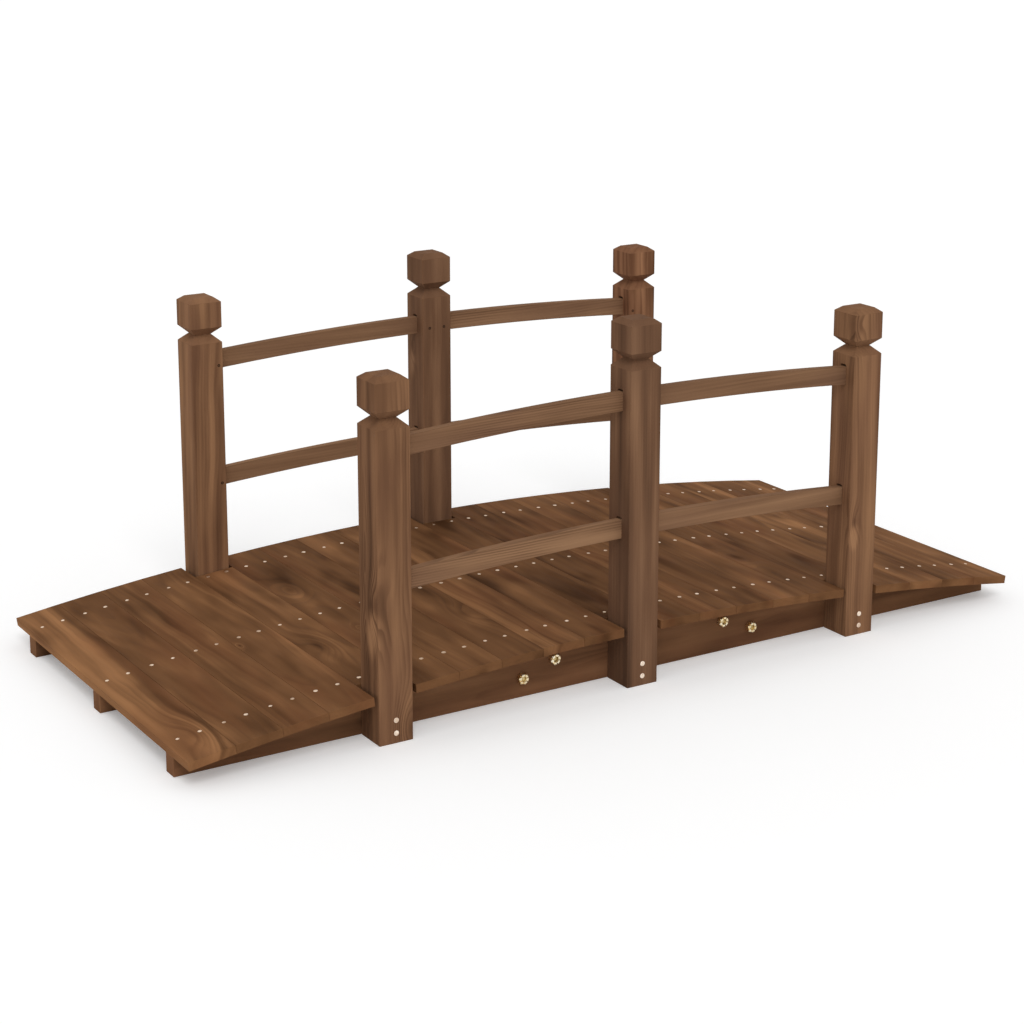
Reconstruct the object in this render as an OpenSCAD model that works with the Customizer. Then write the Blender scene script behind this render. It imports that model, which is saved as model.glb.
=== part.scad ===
// Moon bridge: a small arched timber garden bridge with a railing on each side.
// Millimetres, +Z up. X runs along the walkway, Y across it, and Z = 0 is the ground.
// The deck boards lie on three arched stringers, each made of two halves and a splice plate.
// The posts stand against the outer stringers and the arched rails are let into the posts.

/* [Deck] */
// Width of one deck board
board_width = 71.9; // [50:0.1:95]
// Thickness of one deck board
board_thick = 13; // [9:0.5:24]
// Open joint between two boards
board_gap = 0.35; // [0.2:0.05:5]
// How far the ends of the full boards stand back from the outer faces of the posts
board_setback = 0.5; // [-30:0.5:40]
// Space left between a short board and the post at each of its ends
short_board_gap = 2; // [1:0.5:6]
// Space left between a post and the full board on each side of it
post_gap = 6.5; // [3:0.5:10]

/* [Arch] */
// Rise of the deck from its two ends to the middle
deck_rise = 55; // [25:1:90]
// Height of a stringer at the ends of the bridge
stringer_end_height = 29; // [18:1:50]

/* [Stringers] */
// Distance between the outer faces of the two outer stringers
frame_width = 570; // [480:1:660]
// Thickness of a stringer
stringer_thick = 26; // [18:0.5:40]
// Place of the butt joint between the two halves of a stringer, from the middle of the bridge
stringer_joint_x = 32.5; // [-33:0.5:33]
// Length of a splice plate
splice_length = 520; // [360:5:640]
// Height of a splice plate
splice_height = 54; // [40:1:60]
// Thickness of a splice plate
splice_thick = 18; // [12:0.5:30]
// Height of a splice plate's lower edge above the ground
splice_lift = 12; // [4:1:16]

/* [Posts] */
// Side of a square post
post_side = 55; // [42:0.5:64]
// Height of the two middle posts
post_height = 571; // [520:1:680]
// How much lower the four end posts are
end_post_drop = 31; // [0:1:45]
// Height of the sloped top edge of a post
cap_slope_height = 7.5; // [3:0.5:14]
// Width of the sloped top edge of a post
cap_slope_width = 10; // [4:0.5:16]
// Height of the straight part of a post's cap
cap_height = 41.5; // [25:0.5:60]
// Height of the V groove under the cap
groove_height = 25.5; // [12:0.5:34]
// Depth of the V groove under the cap
groove_depth = 14; // [6:0.5:17]
// Eased edge along the corners of a post
post_ease = 1; // [0.8:0.2:4]

/* [Rails] */
// Height of a rail
rail_height = 29; // [20:0.5:40]
// Thickness of a rail
rail_thick = 14; // [10:0.5:24]
// Distance from the top of the middle post down to the upper rail's top edge
upper_rail_drop = 110; // [100:1:170]
// Distance from the upper rail's under edge down to the lower rail's top edge
rail_space = 169.5; // [110:1:220]
// Rise of the rails from the end posts to the middle post
rail_rise = 17; // [8:1:30]
// Length of rail end let into a post
tenon_length = 20; // [12:0.5:22]
// Room left above and below a rail end in its mortise, before the round corners
mortise_room = 0.4; // [0.3:0.1:3]
// Radius of the upper corners of a mortise, as the router leaves them
mortise_corner = 3; // [2:0.5:4.5]

/* [Hidden] */
// Boards along the bridge, and the three boards that lie between a pair of posts
board_count = 21;
short_boards = [5, 11, 17];
pitch = board_width + board_gap;
// A short board only fills the space between the full boards beside its posts
short_width = post_side + 2 * post_gap - 2 * board_gap;
short_loss = board_width - short_width;
frame_half = frame_width / 2;
board_length = frame_width + 2 * (post_side - board_setback);
// Radius of the deck's underside, from half the length of its arc and the rise; a low arch needs one correction
half_arc = (pitch * board_count - short_loss * len(short_boards)) / 2;
flat_radius = half_arc * half_arc / (2 * deck_rise);
deck_radius = flat_radius - half_arc * half_arc / (12 * flat_radius);
// Half the length of the bridge, and the place of the end posts beside the middle of their short board
half_length = along_arch(half_arc);
post_x = along_arch(seam_arc(short_boards[2]) - (short_width + board_gap) / 2);
end_post_height = post_height - end_post_drop;
// Levels of the rails' under edges by the middle post
upper_rail_level = post_height - upper_rail_drop - rail_height;
lower_rail_level = upper_rail_level - rail_space - rail_height;
// Middle of the posts and rails across the bridge
rail_y = frame_half + post_side / 2;
// Radius of the middle line of the rails
rail_radius = (post_x * post_x + rail_rise * rail_rise) / (2 * rail_rise);
// Overlap that keeps cutters clear of the faces they cut
slip = 1;

// Which sub-part to draw

// Height of the deck's underside above the ground at a place along the bridge
function deck_under(x) =
    stringer_end_height + deck_rise - deck_radius + sqrt(deck_radius * deck_radius - x * x);

// Place along the bridge of a point this far along the arch from its middle
function along_arch(arc) = deck_radius * sin(arc / deck_radius * 180 / PI);

// Distance along the arch of the joint after board k, and its place, so board k lies between
// seam(k - 1) and seam(k)
function seam_arc(k) = k * pitch - short_loss * len([for (b = short_boards) if (b <= k) b]) - half_arc;
function seam(k) = along_arch(seam_arc(k));

// Height of the middle line of a rail whose under edge is at this level by the middle post
function rail_middle(level, x) =
    level + rail_height / 2 - rail_radius + sqrt(rail_radius * rail_radius - x * x);

// One flat board, laid on the chord between its two seams
module deck_board(k) {
    x0 = seam(k - 1);
    x1 = seam(k);
    z0 = deck_under(x0);
    z1 = deck_under(x1);
    is_short = len(search(k, short_boards)) > 0;
    length = is_short ? frame_width - 2 * short_board_gap : board_length;
    width = is_short ? short_width : board_width;
    translate([(x0 + x1) / 2, 0, (z0 + z1) / 2])
        rotate([0, -atan2(z1 - z0, x1 - x0), 0])
            translate([-width / 2, -length / 2, 0])
                cube([width, length, board_thick]);
}

// Side view of a whole stringer: flat foot, and one flat on top for each board
module stringer_outline() {
    top = [for (k = [board_count:-1:0]) [seam(k), deck_under(seam(k))]];
    polygon(concat([[-half_length, 0], [half_length, 0]], top));
}

// One half of a stringer: side is -1 for the left half and 1 for the right
module stringer(y, side) {
    reach = half_length + slip;
    from = side < 0 ? -reach : stringer_joint_x;
    to = side < 0 ? stringer_joint_x : reach;
    translate([0, y + stringer_thick / 2, 0])
        rotate([90, 0, 0])
            linear_extrude(height = stringer_thick)
                intersection() {
                    stringer_outline();
                    translate([from, -slip])
                        square([to - from, stringer_end_height + deck_rise + 2 * slip]);
                }
}

// Plate bolted behind the butt joint of a stringer; y is its lower side
module splice_plate(y) {
    translate([stringer_joint_x - splice_length / 2, y, splice_lift])
        cube([splice_length, splice_thick, splice_height]);
}

// Side view of a post: shaft, V groove, cap and sloped top edge
module post_outline(height) {
    w = post_side / 2;
    neck = w - groove_depth;
    z_slope = height - cap_slope_height;
    z_cap = z_slope - cap_height;
    z_groove = z_cap - groove_height;
    right = [
        [w, 0],
        [w, z_groove],
        [neck, z_groove + groove_height / 2],
        [w, z_cap],
        [w, z_slope],
        [w - cap_slope_width, height]
    ];
    left = [for (i = [len(right) - 1:-1:0]) [-right[i][0], right[i][1]]];
    polygon(concat(right, left));
}

// Plan of a post: a square with eased corners
module post_plan() {
    w = post_side / 2;
    e = w - post_ease;
    polygon([[w, -e], [w, e], [e, w], [-e, w], [-w, e], [-w, -e], [-e, -w], [e, -w]]);
}

// Slot that takes a rail end: its floor lies along the rail, its top keeps the router's round corners;
// side is the face it opens in
module mortise(level, x, side) {
    open = x + side * (post_side / 2 + slip);
    inner = open - side * (tenon_length + slip);
    from = min(open, inner);
    to = max(open, inner);
    z_from = rail_middle(level, from);
    z_to = rail_middle(level, to);
    half = rail_height / 2 + mortise_room;
    low_top = min(z_from, z_to) + rail_height / 2;
    high_top = max(z_from, z_to) + half;
    translate([0, rail_y + rail_thick / 2, 0])
        rotate([90, 0, 0])
            linear_extrude(height = rail_thick)
                polygon([[from, z_from - half], [to, z_to - half], [to, z_to + half], [from, z_from + half]]);
    translate([from, rail_y, 0])
        rotate([90, 0, 90])
            linear_extrude(height = to - from) {
                translate([-rail_thick / 2, low_top])
                    square([rail_thick, high_top - low_top]);
                translate([mortise_corner - rail_thick / 2, low_top])
                    square([rail_thick - 2 * mortise_corner, high_top + mortise_corner - low_top]);
                for (across = [-1, 1])
                    translate([across * (rail_thick / 2 - mortise_corner), high_top])
                        circle(r = mortise_corner, $fn = 48);
            }
}

// One post of the rear side, at place x; the front side is its mirror image
module rear_post(x, height) {
    difference() {
        translate([x, rail_y, 0])
            intersection() {
                translate([0, post_side / 2 + slip, 0])
                    rotate([90, 0, 0])
                        linear_extrude(height = post_side + 2 * slip)
                            post_outline(height);
                translate([-post_side / 2 - slip, 0, 0])
                    rotate([90, 0, 90])
                        linear_extrude(height = post_side + 2 * slip)
                            post_outline(height);
                linear_extrude(height = height)
                    post_plan();
            }
        for (level = [upper_rail_level, lower_rail_level]) {
            if (x >= 0) mortise(level, x, -1);
            if (x <= 0) mortise(level, x, 1);
        }
    }
}

// One arched rail of the rear side: side is -1 for the left bay and 1 for the right
module rear_rail(side, level) {
    near = post_side / 2 - tenon_length;
    far = post_x - post_side / 2 + tenon_length;
    from = side < 0 ? -far : near;
    middle = level + rail_height / 2;
    outer = rail_radius + rail_height / 2;
    inner = rail_radius - rail_height / 2;
    drop = 2 * rail_rise + rail_height;
    translate([0, rail_y + rail_thick / 2, 0])
        rotate([90, 0, 0])
            linear_extrude(height = rail_thick)
                intersection() {
                    translate([0, middle - rail_radius])
                        difference() {
                            circle(r = outer, $fn = 720);
                            circle(r = inner, $fn = 720);
                        }
                    translate([from, middle - drop])
                        square([far - near, 2 * drop]);
                }
}

module front() {
    mirror([0, 1, 0])
        children();
}

stringer_y = frame_half - stringer_thick / 2;
plate_y = frame_half - stringer_thick - splice_thick;

post_tone = [0.42, 0.29, 0.20];
rail_tone = [0.45, 0.31, 0.21];
stringer_tone = [0.34, 0.21, 0.13];
deck_tone = [0.43, 0.28, 0.18];

color(post_tone) front() rear_post(-post_x, end_post_height);  // front_left_post
color(post_tone) front() rear_post(0, post_height);  // front_middle_post
color(post_tone) front() rear_post(post_x, end_post_height);  // front_right_post
color(post_tone) rear_post(-post_x, end_post_height);  // rear_left_post
color(post_tone) rear_post(0, post_height);  // rear_middle_post
color(post_tone) rear_post(post_x, end_post_height);  // rear_right_post

color(rail_tone) front() rear_rail(-1, upper_rail_level);  // front_left_upper_rail
color(rail_tone) front() rear_rail(-1, lower_rail_level);  // front_left_lower_rail
color(rail_tone) front() rear_rail(1, upper_rail_level);  // front_right_upper_rail
color(rail_tone) front() rear_rail(1, lower_rail_level);  // front_right_lower_rail
color(rail_tone) rear_rail(-1, upper_rail_level);  // rear_left_upper_rail
color(rail_tone) rear_rail(-1, lower_rail_level);  // rear_left_lower_rail
color(rail_tone) rear_rail(1, upper_rail_level);  // rear_right_upper_rail
color(rail_tone) rear_rail(1, lower_rail_level);  // rear_right_lower_rail

color(stringer_tone) stringer(-stringer_y, -1);  // front_left_stringer
color(stringer_tone) stringer(-stringer_y, 1);  // front_right_stringer
color(stringer_tone) stringer(0, -1);  // middle_left_stringer
color(stringer_tone) stringer(0, 1);  // middle_right_stringer
color(stringer_tone) stringer(stringer_y, -1);  // rear_left_stringer
color(stringer_tone) stringer(stringer_y, 1);  // rear_right_stringer

color(stringer_tone) front() splice_plate(plate_y);  // front_splice_plate
color(stringer_tone) splice_plate(stringer_thick / 2);  // middle_splice_plate
color(stringer_tone) splice_plate(plate_y);  // rear_splice_plate

color(deck_tone) deck_board(1);  // deck_board_01
color(deck_tone) deck_board(2);  // deck_board_02
color(deck_tone) deck_board(3);  // deck_board_03
color(deck_tone) deck_board(4);  // deck_board_04
color(deck_tone) deck_board(5);  // deck_board_05
color(deck_tone) deck_board(6);  // deck_board_06
color(deck_tone) deck_board(7);  // deck_board_07
color(deck_tone) deck_board(8);  // deck_board_08
color(deck_tone) deck_board(9);  // deck_board_09
color(deck_tone) deck_board(10);  // deck_board_10
color(deck_tone) deck_board(11);  // deck_board_11
color(deck_tone) deck_board(12);  // deck_board_12
color(deck_tone) deck_board(13);  // deck_board_13
color(deck_tone) deck_board(14);  // deck_board_14
color(deck_tone) deck_board(15);  // deck_board_15
color(deck_tone) deck_board(16);  // deck_board_16
color(deck_tone) deck_board(17);  // deck_board_17
color(deck_tone) deck_board(18);  // deck_board_18
color(deck_tone) deck_board(19);  // deck_board_19
color(deck_tone) deck_board(20);  // deck_board_20
color(deck_tone) deck_board(21);  // deck_board_21
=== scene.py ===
# %% [markdown]
# # A moon bridge for the garden
# This lesson dresses a small arched timber bridge. The solid pieces, six posts, eight rails, six halves
# of stringers, three splice plates and twenty-one deck boards, come ready made from a CAD model, at
# their real size. Here they get their eased edges, their stained wood, their nails, screws and bolts,
# and a studio. First the frame is loaded, and its box is kept, so that the end can show that nothing
# has grown.

# %% Load the frame
import math
import random

import bpy
from mathutils import Matrix, Vector


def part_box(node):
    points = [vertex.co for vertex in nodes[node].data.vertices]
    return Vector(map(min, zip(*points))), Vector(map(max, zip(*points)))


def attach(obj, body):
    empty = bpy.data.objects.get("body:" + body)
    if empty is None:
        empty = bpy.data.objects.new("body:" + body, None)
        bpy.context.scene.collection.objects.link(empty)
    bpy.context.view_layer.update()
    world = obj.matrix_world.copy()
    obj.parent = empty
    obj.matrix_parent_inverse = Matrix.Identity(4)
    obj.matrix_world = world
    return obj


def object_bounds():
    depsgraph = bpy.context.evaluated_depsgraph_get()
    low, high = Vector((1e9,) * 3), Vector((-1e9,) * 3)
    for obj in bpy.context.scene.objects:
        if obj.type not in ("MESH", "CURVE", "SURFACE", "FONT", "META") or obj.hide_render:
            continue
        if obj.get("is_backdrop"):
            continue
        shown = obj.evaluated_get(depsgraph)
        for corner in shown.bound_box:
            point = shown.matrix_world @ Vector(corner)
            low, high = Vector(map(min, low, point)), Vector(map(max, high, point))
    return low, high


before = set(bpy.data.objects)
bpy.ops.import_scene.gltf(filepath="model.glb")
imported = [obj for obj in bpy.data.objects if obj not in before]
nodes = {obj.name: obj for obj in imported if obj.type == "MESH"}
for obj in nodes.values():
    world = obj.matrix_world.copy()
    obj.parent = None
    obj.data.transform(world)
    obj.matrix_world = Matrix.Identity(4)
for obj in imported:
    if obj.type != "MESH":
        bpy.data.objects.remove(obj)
cad_low, cad_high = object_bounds()
scene = bpy.context.scene
print("nodes:", len(nodes), "box:", [round(v, 3) for v in cad_high - cad_low])

# %% [markdown]
# ## The camera
# The bridge is seen from its left front, from a little above. A camera can keep posts upright in two
# ways: it looks level and shifts its film far down, or it tilts down and lets the posts lean a little.
# A large shift spoils every other view, so this one tilts by 13 degrees and shifts only a little.

# %% Camera
IMAGE_SIDE = 1024
FOCAL_LENGTH = 2250
OPTICAL_CENTRE_UP = 162
SENSOR_WIDTH = 36.0
VIEW_DEPTH = 200.0
CAMERA_PLACE = (-1.8714, -2.9936, 1.2736)
CAMERA_TILT = -0.22665
CAMERA_TURN = -0.55282


def add_camera():
    """The photograph's view; image side, focal length and optical centre are in pixels."""
    data = bpy.data.cameras.new("garden_view")
    data.sensor_width = SENSOR_WIDTH
    data.lens = FOCAL_LENGTH * SENSOR_WIDTH / IMAGE_SIDE
    data.shift_y = -OPTICAL_CENTRE_UP / IMAGE_SIDE
    data.clip_end = VIEW_DEPTH
    camera = bpy.data.objects.new("garden_view", data)
    camera.location = CAMERA_PLACE
    camera.rotation_euler = (math.pi / 2 + CAMERA_TILT, 0.0, CAMERA_TURN)
    scene.collection.objects.link(camera)
    return camera


scene.camera = add_camera()
print("lens:", round(scene.camera.data.lens, 2), "mm")

# %% [markdown]
# ## Helpers for node trees
# Light and finishes are trees of nodes, and each node does one small sum. They could be placed and
# wired by hand, but then a sum of ten steps takes fifty lines. One helper for each kind of node lets a
# tree read like arithmetic. The first three are enough for the studio.

# %% Node helpers
WHITE = (1.0, 1.0, 1.0, 1.0)


def feed(tree, socket, value):
    """Joins a socket to another one, or sets it to a plain value."""
    if isinstance(value, bpy.types.NodeSocket):
        tree.links.new(value, socket)
    else:
        socket.default_value = value


def number(tree, operation, *values):
    """One step of arithmetic."""
    node = tree.nodes.new("ShaderNodeMath")
    node.operation = operation
    for socket, value in zip(node.inputs, values):
        feed(tree, socket, value)
    return node.outputs[0]


def between(tree, value, low, high, to_low=0.0, to_high=1.0, soft=True):
    """Brings a value from one range to another, and holds it at the ends."""
    node = tree.nodes.new("ShaderNodeMapRange")
    node.interpolation_type = "SMOOTHSTEP" if soft else "LINEAR"
    ends = {"From Min": low, "From Max": high, "To Min": to_low, "To Max": to_high}
    for name, setting in ends.items():
        feed(tree, node.inputs[name], setting)
    feed(tree, node.inputs["Value"], value)
    return node.outputs[0]


print("node helpers ready")

# %% [markdown]
# ## The white dome
# Timber in a catalogue stands in soft light from all round. A white background could come from stronger
# light, but that would bleach the wood. So the dome is set to a plain level, and only the rays that go
# straight to the camera, or there by way of shiny metal, see it as white.

# %% White dome
DOME_STRENGTH = 0.72


def seen_directly(tree):
    """1 for rays from the camera, from a mirror-like surface or through glass, and 0 for plain light."""
    path = tree.nodes.new("ShaderNodeLightPath").outputs
    first = number(tree, "MAXIMUM", path["Is Camera Ray"], path["Is Glossy Ray"])
    return number(tree, "MAXIMUM", first, path["Is Transmission Ray"])


def white_dome():
    """A dome that lights the wood softly and looks white where it is seen."""
    world = bpy.data.worlds.new("white_dome")
    world.use_nodes = True
    tree = world.node_tree
    background = tree.nodes["Background"]
    background.inputs["Color"].default_value = WHITE
    strength = between(tree, seen_directly(tree), 0.0, 1.0, DOME_STRENGTH, 1.0, soft=False)
    feed(tree, background.inputs["Strength"], strength)
    scene.world = world


white_dome()
scene.view_settings.view_transform = "Standard"
print("dome:", DOME_STRENGTH)

# %% [markdown]
# ## The key lamp
# With the dome alone every face would look alike. One broad lamp from high up in front makes the front
# faces a little brighter than the left ones, and puts a soft shadow under each rail. A panel close by
# would light one end more than the other, so a far, soft sun does it. Dome and lamp together are set so
# that a sheet of grey paper would show its own grey.

# %% Key lamp
KEY_STRENGTH = 0.85
KEY_SOFTNESS = math.radians(25)
KEY_FROM = Vector((-0.26, -0.62, 0.74))


def key_lamp():
    """One broad soft lamp, far away, high up in front."""
    data = bpy.data.lights.new("key_lamp", "SUN")
    data.energy = KEY_STRENGTH
    data.angle = KEY_SOFTNESS
    lamp = bpy.data.objects.new("key_lamp", data)
    lamp.rotation_euler = KEY_FROM.to_track_quat("Z", "Y").to_euler()
    scene.collection.objects.link(lamp)


key_lamp()
print("key:", KEY_STRENGTH)

# %% [markdown]
# ## The floor
# The floor is a wide pale sheet. On its own it would come out light grey, so it gets a little glow
# that only the camera sees: the open floor then reaches white, and the soft shadow under the bridge
# stays in it. A faint mottle keeps it from being one flat colour.

# %% Floor
FLOOR_HALF = 40.0
FLOOR_LEVEL = -0.0002
FLOOR_MOTTLE = 3.0
FLOOR_PAPER = (0.86, 0.90)
FLOOR_ROUGHNESS = 0.9
FLOOR_SHINE = 0.1
FLOOR_GLOW = 0.22


def floor_finish():
    """Pale paper that glows a little where it is seen."""
    material = bpy.data.materials.new("pale_floor")
    material.use_nodes = True
    tree = material.node_tree
    shader = tree.nodes["Principled BSDF"]
    shader.inputs["Roughness"].default_value = FLOOR_ROUGHNESS
    shader.inputs["Specular IOR Level"].default_value = FLOOR_SHINE
    shader.inputs["Emission Color"].default_value = WHITE
    mottle = tree.nodes.new("ShaderNodeTexNoise")
    mottle.inputs["Scale"].default_value = FLOOR_MOTTLE
    paper = between(tree, mottle.outputs[0], 0.0, 1.0, *FLOOR_PAPER, soft=False)
    feed(tree, shader.inputs["Base Color"], paper)
    glow = number(tree, "MULTIPLY", seen_directly(tree), FLOOR_GLOW)
    feed(tree, shader.inputs["Emission Strength"], glow)
    return material


def pale_floor():
    """A plain pale floor under the bridge; it is part of the studio."""
    mesh = bpy.data.meshes.new("pale_floor")
    h = FLOOR_HALF
    z = FLOOR_LEVEL
    mesh.from_pydata([(-h, -h, z), (h, -h, z), (h, h, z), (-h, h, z)], [], [(0, 1, 2, 3)])
    mesh.materials.append(floor_finish())
    floor = bpy.data.objects.new("pale_floor", mesh)
    scene.collection.objects.link(floor)
    floor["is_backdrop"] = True


pale_floor()
print("floor:", 2 * FLOOR_HALF, "m wide")

# %% [markdown]
# ## Eased edges
# No sawn timber has razor edges: a pass with sandpaper takes them off, and the small round catches the
# light. The edges could be rounded in CAD, but a Bevel modifier does it here without touching the
# solids. Weld joins the corners that the file keeps apart, Decimate takes the needless lines out of
# the flat faces, and Weighted Normal keeps those faces looking flat. The bevel also gives its narrow
# faces a second, paler material. It is partly worn stain, where hands and weather thin it, and partly a
# painted highlight along every edge.

# %% Ease the edges
EASE = {"post": 0.0006, "rail": 0.0007, "stringer": 0.0010, "plate": 0.0010, "board": 0.00009}
EASE_ROUNDS = 2
EDGE_ANGLE = math.radians(22)
FLAT_ANGLE = math.radians(0.2)
CORNER_GAP = 0.00002
# slot of the paler edge material: worn stain plus a painted highlight
WORN_AND_HIGHLIT = 1


def kind_of(name):
    """The kind of piece that a node's name speaks of."""
    return next(kind for kind in EASE if kind in name)


def ease_edges(piece, width):
    """Small round edges on a CAD piece, made by modifiers alone."""
    weld = piece.modifiers.new("joined_corners", "WELD")
    weld.merge_threshold = CORNER_GAP
    flat = piece.modifiers.new("clean_faces", "DECIMATE")
    flat.decimate_type = "DISSOLVE"
    flat.angle_limit = FLAT_ANGLE
    bevel = piece.modifiers.new("eased_edges", "BEVEL")
    bevel.width = width
    bevel.segments = EASE_ROUNDS
    bevel.limit_method = "ANGLE"
    bevel.angle_limit = EDGE_ANGLE
    # bevel faces get the paler material: wear and painted highlight
    bevel.material = WORN_AND_HIGHLIT
    normals = piece.modifiers.new("flat_faces", "WEIGHTED_NORMAL")
    normals.keep_sharp = False
    for polygon in piece.data.polygons:
        polygon.use_smooth = True


for node_name, node in nodes.items():
    ease_edges(node, EASE[kind_of(node_name)])
print("eased:", len(nodes), "pieces")

# %% [markdown]
# ## Stained fir
# The bridge is fir with a dark brown stain. Fir shows growth rings: a pale soft band that darkens into
# a thin hard line, year after year, round the pith of the tree. A picture of wood could be laid on
# the faces, but it would run out at every end and corner. Here the tree itself is described:
# how far a point is from the pith gives its ring, so flames on the face, straight lines on an edge and
# arcs on the end grain all come out of one sum. That takes a few more helpers, for places and colours.

# %% Helpers for places
MILLIMETRES = 1000.0
NOISE_MIDDLE = 0.5
ONE_NUMBER = ("LENGTH", "DOT_PRODUCT")


def vector(tree, operation, *values):
    """One step of arithmetic on places and directions."""
    node = tree.nodes.new("ShaderNodeVectorMath")
    node.operation = operation
    for socket, value in zip(node.inputs, values):
        feed(tree, socket, value)
    return node.outputs["Value" if operation in ONE_NUMBER else "Vector"]


def place_from(tree, x=0.0, y=0.0, z=0.0):
    """A place put together from three numbers."""
    node = tree.nodes.new("ShaderNodeCombineXYZ")
    for socket, value in zip(node.inputs, (x, y, z)):
        feed(tree, socket, value)
    return node.outputs[0]


def noise(tree, where, sizes, detail=2.0, roughness=0.5):
    """Soft noise; sizes are those of one blotch, along the grain and across it, in millimetres."""
    node = tree.nodes.new("ShaderNodeTexNoise")
    feed(tree, node.inputs["Vector"], vector(tree, "DIVIDE", where, sizes))
    node.inputs["Scale"].default_value = 1.0
    node.inputs["Detail"].default_value = detail
    node.inputs["Roughness"].default_value = roughness
    return node.outputs


def clouds(tree, where, sizes, *settings):
    """Soft noise as a number, about 0.5 on the whole."""
    return noise(tree, where, sizes, *settings)[0]


def drift(tree, where, sizes):
    """Soft noise as a push to and fro along each axis."""
    return vector(tree, "SUBTRACT", noise(tree, where, sizes)["Color"], (NOISE_MIDDLE,) * 3)


print("finishes are measured in millimetres,", MILLIMETRES, "to a metre")

# %% [markdown]
# Two more helpers bend a number into a hump and swing it about zero, one mixes colours, and one takes
# colours as a paint chart gives them. The Mix node has a set of sockets for each kind of data, with the
# same names, so the ones for colours are picked by their place in the list.

# %% Helpers for tones and colours
MIX_SHARE = 0
MIX_FIRST = 6
MIX_SECOND = 7
MIX_RESULT = 2


def hump(tree, value, steepness):
    """1 where a value is 0, falling off on both sides."""
    square = number(tree, "MULTIPLY", value, value)
    return number(tree, "EXPONENT", number(tree, "MULTIPLY", square, -steepness))


def centred(tree, value):
    """Noise that swings about 0."""
    return number(tree, "SUBTRACT", value, NOISE_MIDDLE)


def blended(tree, share, first, second):
    """A mix of two colours."""
    node = tree.nodes.new("ShaderNodeMix")
    node.data_type = "RGBA"
    feed(tree, node.inputs[MIX_SHARE], share)
    feed(tree, node.inputs[MIX_FIRST], first)
    feed(tree, node.inputs[MIX_SECOND], second)
    return node.outputs[MIX_RESULT]


def paint(red, green, blue):
    """A colour as a paint chart gives it, 0 to 255, brought to a shader's colours by the sRGB curve."""
    def light(channel):
        share = channel / 255
        return share / 12.92 if share <= 0.04045 else ((share + 0.055) / 1.055) ** 2.4
    return (light(red), light(green), light(blue), 1.0)


print("a middle grey is", round(paint(128, 128, 128)[0], 3), "to a shader")

# %% [markdown]
# ## One tree for all the timber
# The finish could be copied into each material, but then a change would have to be made 48 times. One
# node group is the tree, and its inputs say what differs: where a point is along and across the grain,
# where the pith lies, how the stem slopes and tapers, how wide the rings and bands are and how much they
# wander, where a knot or a bend sits, how far the heartwood reaches, and four tones of stain.

# %% Inputs of the fir group
FIR_INPUTS = {
    "NodeSocketVector": ("Grain", "Pith", "Knot place", "Bend place"),
    "NodeSocketFloat": (
        "End grain", "Seed", "Slope", "Taper", "Heart radius", "Sapwood", "Ring gap", "Ring strength",
        "Band width", "Band strength", "Wander", "Tone", "Streaks", "Cloudiness", "Smudges",
        "Small knots", "Knot size", "Knot depth",
    ),
    "NodeSocketColor": ("Dark", "Middle", "Light", "Blush"),
}
FIR_OUTPUTS = {"NodeSocketColor": ("Colour",), "NodeSocketFloat": ("Roughness", "Height")}
print("fir inputs:", sum(len(names) for names in FIR_INPUTS.values()))

# %% [markdown]
# ## Knots
# A knot is a branch that the stem grew round. It could be painted on a face, but a knot goes through
# the wood, so it is set in space and shows on each face that it reaches. The few that stand out on the
# real bridge have a set place, and small ones turn up by chance, at most one in each cell of a Voronoi
# pattern. Distances are told in shares of a knot: 0 at its middle and 1 at its rim, which is longer
# along the grain than across it. A bend is a knot just under the face: it turns the grain but leaves
# no dark core. Below a knot the wood is paler, where resin kept the stain out.

# %% Knots
KNOT_STRETCH = (0.42, 1.0, 1.0)
KNOT_CELL = (330.0, 95.0, 95.0)
LUCKY_CELLS = (0.5, 1.0)
NO_SIZE = 0.01
LARGEST_SMALL_KNOT = 13.0
PALE_BELOW = 1.15


def away_from(tree, grain, place):
    """The way from a knot's middle to a point, as the knot sees it."""
    return vector(tree, "MULTIPLY", vector(tree, "SUBTRACT", grain, place), KNOT_STRETCH)


def small_knots(tree, field, inputs):
    """How far a point is from the chance knot of its cell, in shares of that knot."""
    scaled = vector(tree, "DIVIDE", field, KNOT_CELL)
    cells = tree.nodes.new("ShaderNodeTexVoronoi")
    feed(tree, cells.inputs["Vector"], scaled)
    cells.inputs["Scale"].default_value = 1.0
    away = vector(tree, "SUBTRACT", scaled, cells.outputs["Position"])
    away = vector(tree, "MULTIPLY", away, KNOT_CELL)
    distance = vector(tree, "LENGTH", vector(tree, "MULTIPLY", away, KNOT_STRETCH))
    luck = tree.nodes.new("ShaderNodeSeparateColor")
    feed(tree, luck.inputs[0], cells.outputs["Color"])
    size = between(tree, luck.outputs[0], *LUCKY_CELLS, NO_SIZE, LARGEST_SMALL_KNOT)
    size = number(tree, "MULTIPLY", size, inputs["Small knots"])
    return number(tree, "DIVIDE", distance, number(tree, "MAXIMUM", size, NO_SIZE))


def knots_in_fir(tree, grain, field, inputs):
    """How far a point is from a knot, from the nearest bend of the grain, and from the pale wood below."""
    knot_size = inputs["Knot size"]
    own = away_from(tree, grain, inputs["Knot place"])
    own_share = number(tree, "DIVIDE", vector(tree, "LENGTH", own), knot_size)
    bend = away_from(tree, grain, inputs["Bend place"])
    bend_share = number(tree, "DIVIDE", vector(tree, "LENGTH", bend), knot_size)
    below = place_from(tree, x=number(tree, "MULTIPLY", knot_size, PALE_BELOW))
    pale = vector(tree, "LENGTH", vector(tree, "ADD", own, below))
    pale_share = number(tree, "DIVIDE", pale, knot_size)
    knot = number(tree, "MINIMUM", own_share, small_knots(tree, field, inputs))
    return knot, number(tree, "MINIMUM", knot, bend_share), pale_share


print("small knots: at most one in", KNOT_CELL, "mm")

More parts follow.
